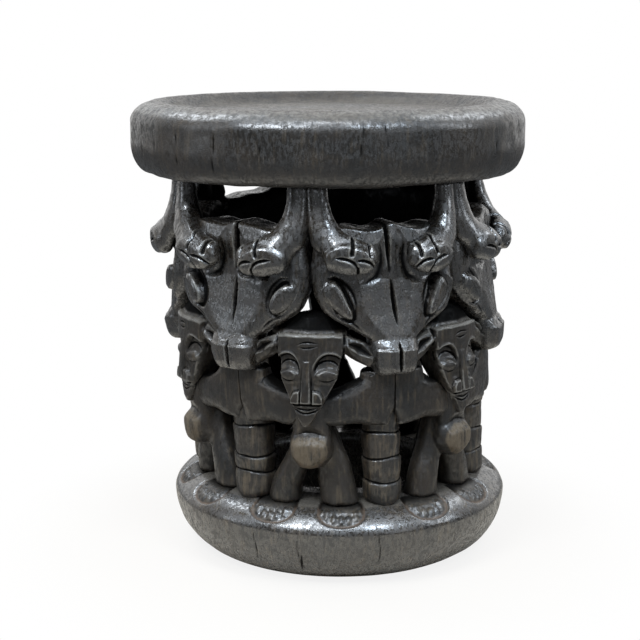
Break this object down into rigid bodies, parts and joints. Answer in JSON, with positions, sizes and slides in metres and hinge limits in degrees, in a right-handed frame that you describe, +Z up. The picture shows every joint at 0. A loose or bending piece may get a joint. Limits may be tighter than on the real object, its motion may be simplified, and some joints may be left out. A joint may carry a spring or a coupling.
{
  "type": "carved openwork stool",
  "caption": "Round carved wooden stool: thick dished seat on an openwork drum of horned beast heads, small figures and ringed posts over a heavy base ring.",
  "frame": {"origin": "centre of the bounding box on the floor, under the middle of the seat", "axes": "+Z up; the front, with one figure facing the viewer, looks along -Y; +X to the viewer's right"},
  "size_m": [0.4, 0.4, 0.46],
  "materials": {
    "seat_wood": "dark hand-rubbed patina, satin",
    "base_wood": "dark hand-rubbed patina, satin, dusty on top",
    "beast_wood": "dark patina, burnished on the high spots",
    "horn_wood": "dark patina, burnished on the high spots",
    "figure_wood": "dark patina worn to warm brown, dust in the cuts",
    "post_wood": "dark patina worn to warm brown, dust in the cuts"
  },
  "bodies": {
    "root": {"seat": "seat_wood", "base": "base_wood", "beast_head_1": "beast_wood", "beast_head_2": "beast_wood", "beast_head_3": "beast_wood", "beast_head_4": "beast_wood", "beast_head_5": "beast_wood", "beast_head_6": "beast_wood", "horn_left_1": "horn_wood", "horn_left_2": "horn_wood", "horn_left_3": "horn_wood", "horn_left_4": "horn_wood", "horn_left_5": "horn_wood", "horn_left_6": "horn_wood", "horn_right_1": "horn_wood", "horn_right_2": "horn_wood", "horn_right_3": "horn_wood", "horn_right_4": "horn_wood", "horn_right_5": "horn_wood", "horn_right_6": "horn_wood", "ringed_post_1": "post_wood", "ringed_post_2": "post_wood", "ringed_post_3": "post_wood", "ringed_post_4": "post_wood", "ringed_post_5": "post_wood", "ringed_post_6": "post_wood", "figure_head_1": "figure_wood", "figure_head_2": "figure_wood", "figure_head_3": "figure_wood", "figure_head_4": "figure_wood", "figure_head_5": "figure_wood", "figure_head_6": "figure_wood", "figure_body_1": "figure_wood", "figure_body_2": "figure_wood", "figure_body_3": "figure_wood", "figure_body_4": "figure_wood", "figure_body_5": "figure_wood", "figure_body_6": "figure_wood", "figure_arm_left_1": "figure_wood", "figure_arm_left_2": "figure_wood", "figure_arm_left_3": "figure_wood", "figure_arm_left_4": "figure_wood", "figure_arm_left_5": "figure_wood", "figure_arm_left_6": "figure_wood", "figure_arm_right_1": "figure_wood", "figure_arm_right_2": "figure_wood", "figure_arm_right_3": "figure_wood", "figure_arm_right_4": "figure_wood", "figure_arm_right_5": "figure_wood", "figure_arm_right_6": "figure_wood"}
  },
  "joints": []
}
